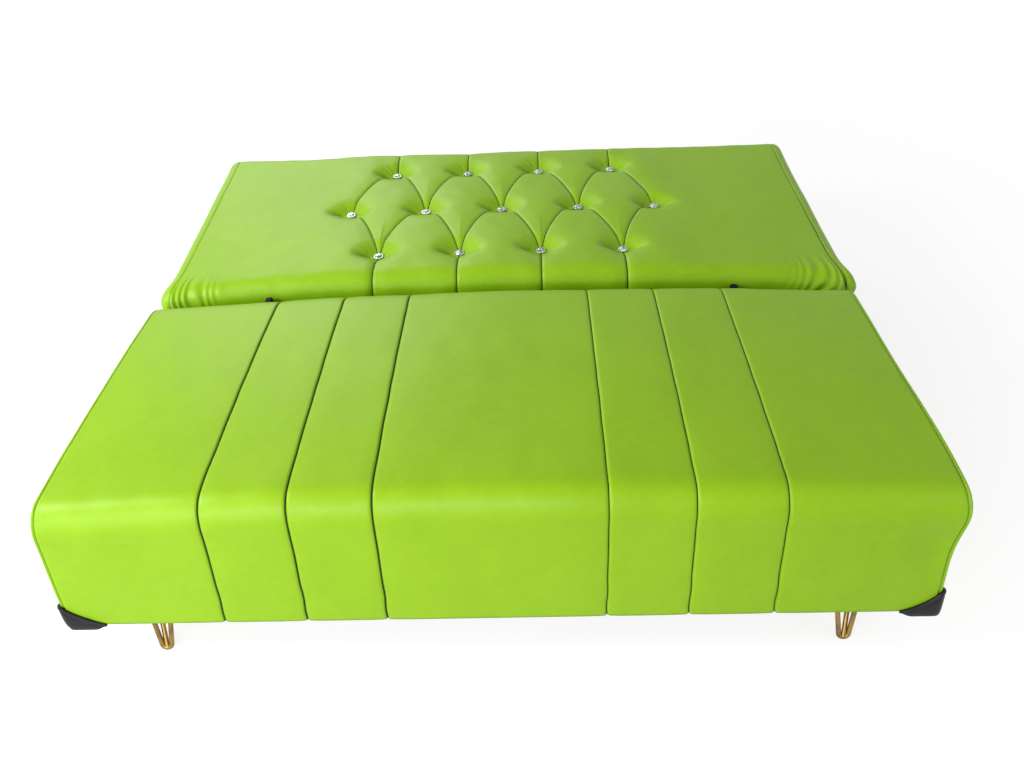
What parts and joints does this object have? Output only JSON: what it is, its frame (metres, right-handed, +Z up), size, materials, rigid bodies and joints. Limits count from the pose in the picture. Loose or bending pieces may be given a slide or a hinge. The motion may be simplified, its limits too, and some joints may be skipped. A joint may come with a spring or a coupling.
{
  "type": "fold-flat sofa bed",
  "caption": "Fold-flat sofa bed lying flat: channelled seat, tufted back that swings up on click-clack hinges, hairpin legs and corner caps.",
  "frame": {"origin": "on the floor, under the middle of the bed as it lies flat", "axes": "+X along the width to the right of someone facing the seat's front, +Y from the seat's front to the back's far edge, +Z up"},
  "size_m": [1.836, 1.6137, 0.477],
  "materials": {
    "leatherette": "lime green leatherette with a fine grain and a soft sheen",
    "foam": "cream upholstery foam",
    "underside_cloth": "black nonwoven cloth",
    "plywood": "raw plywood",
    "pine": "sawn softwood",
    "black_plastic": "satin moulded black plastic",
    "gold_legs": "polished gold-coloured steel rod",
    "button_metal": "bright silver rim",
    "crystal": "faceted clear crystal with a silvered back",
    "twine": "waxed upholstery twine",
    "zinc_fasteners": "zinc-plated steel",
    "hinge_steel": "pressed and plated steel plate"
  },
  "bodies": {
    "seat": {"seat_cover": "leatherette", "seat_foam": "foam", "seat_dust_cloth": "underside_cloth", "seat_deck": "plywood", "seat_front_rail": "pine", "seat_rear_rail": "pine", "seat_side_rail_left": "pine", "seat_side_rail_right": "pine", "seat_joist_left": "pine", "seat_joist_right": "pine", "seat_joist_middle": "pine", "seat_leg_board_left": "pine", "seat_leg_board_right": "pine", "corner_cap_left": "black_plastic", "corner_cap_right": "black_plastic", "corner_cap_screws": "zinc_fasteners", "seat_leg_front_left": "gold_legs", "seat_leg_front_right": "gold_legs", "seat_leg_rear_left": "gold_legs", "seat_leg_rear_right": "gold_legs", "seat_leg_screws": "zinc_fasteners", "hinge_seat_arm_left": "hinge_steel", "hinge_seat_arm_right": "hinge_steel", "hinge_seat_bolts": "zinc_fasteners", "hinge_pin_left": "hinge_steel", "hinge_pin_right": "hinge_steel", "pawl_pin_left": "hinge_steel", "pawl_pin_right": "hinge_steel", "pawl_spring_left": "hinge_steel", "pawl_spring_right": "hinge_steel"},
    "back": {"back_cover": "leatherette", "back_foam": "foam", "back_rear_cloth": "underside_cloth", "back_deck": "plywood", "back_near_rail": "pine", "back_far_rail": "pine", "back_side_rail_left": "pine", "back_side_rail_right": "pine", "back_joist_left": "pine", "back_joist_right": "pine", "back_inner_joist_left": "pine", "back_inner_joist_right": "pine", "back_leg_board_left": "pine", "back_leg_board_right": "pine", "back_leg_left": "gold_legs", "back_leg_right": "gold_legs", "back_leg_screws": "zinc_fasteners", "hinge_back_arm_left": "hinge_steel", "hinge_back_arm_right": "hinge_steel", "hinge_ratchet_left": "hinge_steel", "hinge_ratchet_right": "hinge_steel", "hinge_back_bolts": "zinc_fasteners", "button_rims": "button_metal", "button_crystals": "crystal", "button_ties": "twine"},
    "pawl_left": {"hinge_pawl_left": "hinge_steel"},
    "pawl_right": {"hinge_pawl_right": "hinge_steel"}
  },
  "joints": [
    {"name": "back_recline", "type": "hinge", "parent": "seat", "child": "back", "pos_m": [0, 0.039, 0.352], "axis": [1, 0, 0], "range_deg": [0, 72]},
    {"name": "pawl_left_swing", "type": "hinge", "parent": "seat", "child": "pawl_left", "pos_m": [-0.6263, -0.0021, 0.34142], "axis": [1, 0, 0], "range_deg": [0, 5.5], "stiffness_Nm_per_rad": 0.4},
    {"name": "pawl_right_swing", "type": "hinge", "parent": "seat", "child": "pawl_right", "pos_m": [0.6263, -0.0021, 0.34142], "axis": [1, 0, 0], "range_deg": [0, 5.5], "stiffness_Nm_per_rad": 0.4}
  ]
}
